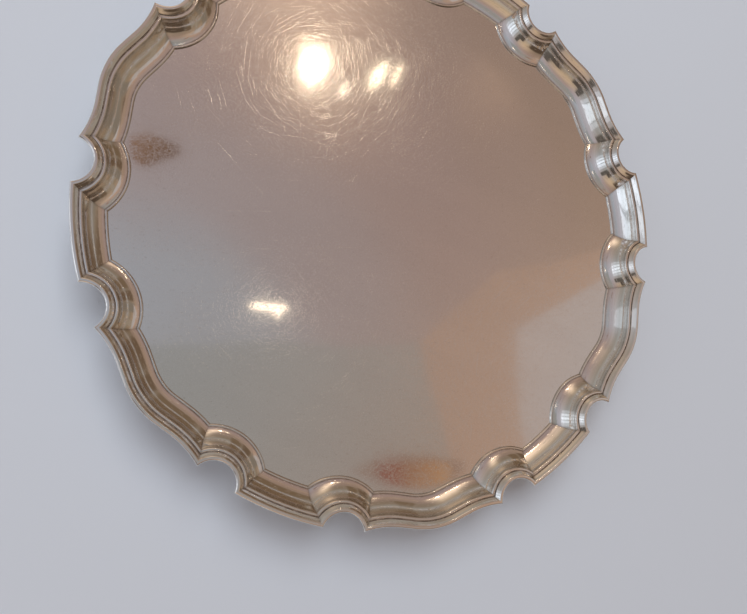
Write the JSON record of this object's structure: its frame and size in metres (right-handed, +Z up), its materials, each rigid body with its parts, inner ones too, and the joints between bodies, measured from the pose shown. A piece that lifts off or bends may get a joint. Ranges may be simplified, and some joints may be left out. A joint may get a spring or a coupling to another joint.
{
  "type": "silver salver",
  "caption": "Round footed silver salver with a plain flat centre and a raised, moulded piecrust border of serpentine and curved panels parted by round notches.",
  "frame": {"origin": "on the salver's axis, in the plane that its three feet stand on", "axes": "+Z up, out of the serving face; +X through the middle of a long border panel, directly opposite a foot; the outline repeats every 60 degrees about Z"},
  "size_m": [0.3089, 0.3046, 0.03],
  "materials": {
    "flat_silver": "polished",
    "border_silver": "polished",
    "foot_silver": "polished"
  },
  "bodies": {
    "root": {"flat_plate": "flat_silver", "border_long_1": "border_silver", "border_short_1": "border_silver", "border_long_2": "border_silver", "border_short_2": "border_silver", "border_long_3": "border_silver", "border_short_3": "border_silver", "border_long_4": "border_silver", "border_short_4": "border_silver", "border_long_5": "border_silver", "border_short_5": "border_silver", "border_long_6": "border_silver", "border_short_6": "border_silver", "foot_1": "foot_silver", "foot_2": "foot_silver", "foot_3": "foot_silver"}
  },
  "joints": []
}
